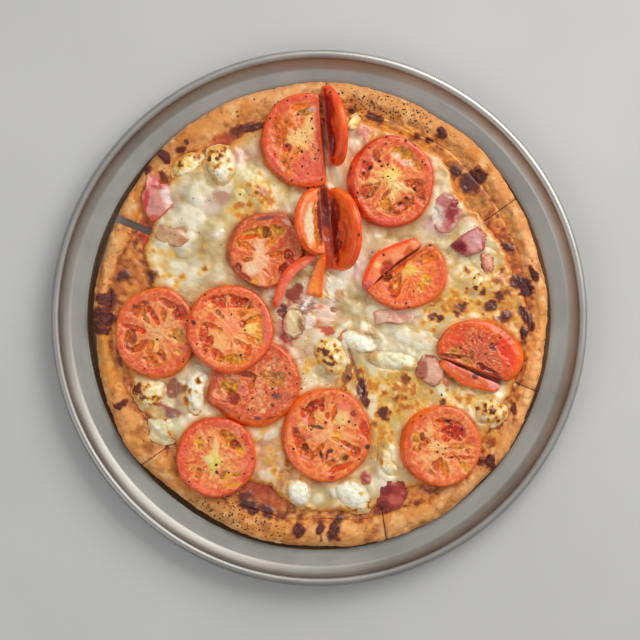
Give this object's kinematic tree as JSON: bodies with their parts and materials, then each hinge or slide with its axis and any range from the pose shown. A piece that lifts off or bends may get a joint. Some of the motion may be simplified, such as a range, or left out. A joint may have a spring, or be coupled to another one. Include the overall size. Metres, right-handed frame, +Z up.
{
  "type": "pizza in a pan",
  "caption": "Round flat pizza cut into wedges, topped with tomato slices, ham and melted cheese, in a shallow wide-rimmed metal pan.",
  "frame": {"origin": "centre of the pan's underside", "axes": "+Z up out of the pan, +Y towards the cut that has a half tomato slice standing on it"},
  "size_m": [0.356, 0.356, 0.0373],
  "materials": {
    "pan": "satin, finely brushed round",
    "crust": "baked dough, matte",
    "sauce": "oily tomato sauce",
    "cheese": "melted cheese, browned in spots",
    "tomato": "moist tomato flesh with glossy skin",
    "ham": "cooked ham"
  },
  "bodies": {
    "root": {"cheese_1": "cheese", "cheese_2": "cheese", "cheese_3": "cheese", "cheese_4": "cheese", "cheese_5": "cheese", "cheese_6": "cheese", "cheese_lump_1": "cheese", "cheese_lump_10": "cheese", "cheese_lump_11": "cheese", "cheese_lump_12": "cheese", "cheese_lump_13": "cheese", "cheese_lump_14": "cheese", "cheese_lump_2": "cheese", "cheese_lump_3": "cheese", "cheese_lump_4": "cheese", "cheese_lump_5": "cheese", "cheese_lump_6": "cheese", "cheese_lump_7": "cheese", "cheese_lump_8": "cheese", "cheese_lump_9": "cheese", "crust_1": "crust", "crust_2": "crust", "crust_3": "crust", "crust_4": "crust", "crust_5": "crust", "crust_6": "crust", "ham_1": "ham", "ham_2": "ham", "ham_3": "ham", "ham_4": "ham", "ham_5": "ham", "ham_6": "ham", "ham_7": "ham", "ham_8": "ham", "ham_9": "ham", "pan": "pan", "sauce_1": "sauce", "sauce_2": "sauce", "sauce_3": "sauce", "sauce_4": "sauce", "sauce_5": "sauce", "sauce_6": "sauce", "tomato_1": "tomato", "tomato_10": "tomato", "tomato_11": "tomato", "tomato_12": "tomato", "tomato_13": "tomato", "tomato_13_strip": "tomato", "tomato_1_half": "tomato", "tomato_2": "tomato", "tomato_3": "tomato", "tomato_3_strip": "tomato", "tomato_4": "tomato", "tomato_5_left": "tomato", "tomato_5_right": "tomato", "tomato_6_arc": "tomato", "tomato_6_wedge": "tomato", "tomato_7": "tomato", "tomato_8": "tomato", "tomato_9": "tomato"}
  },
  "joints": []
}
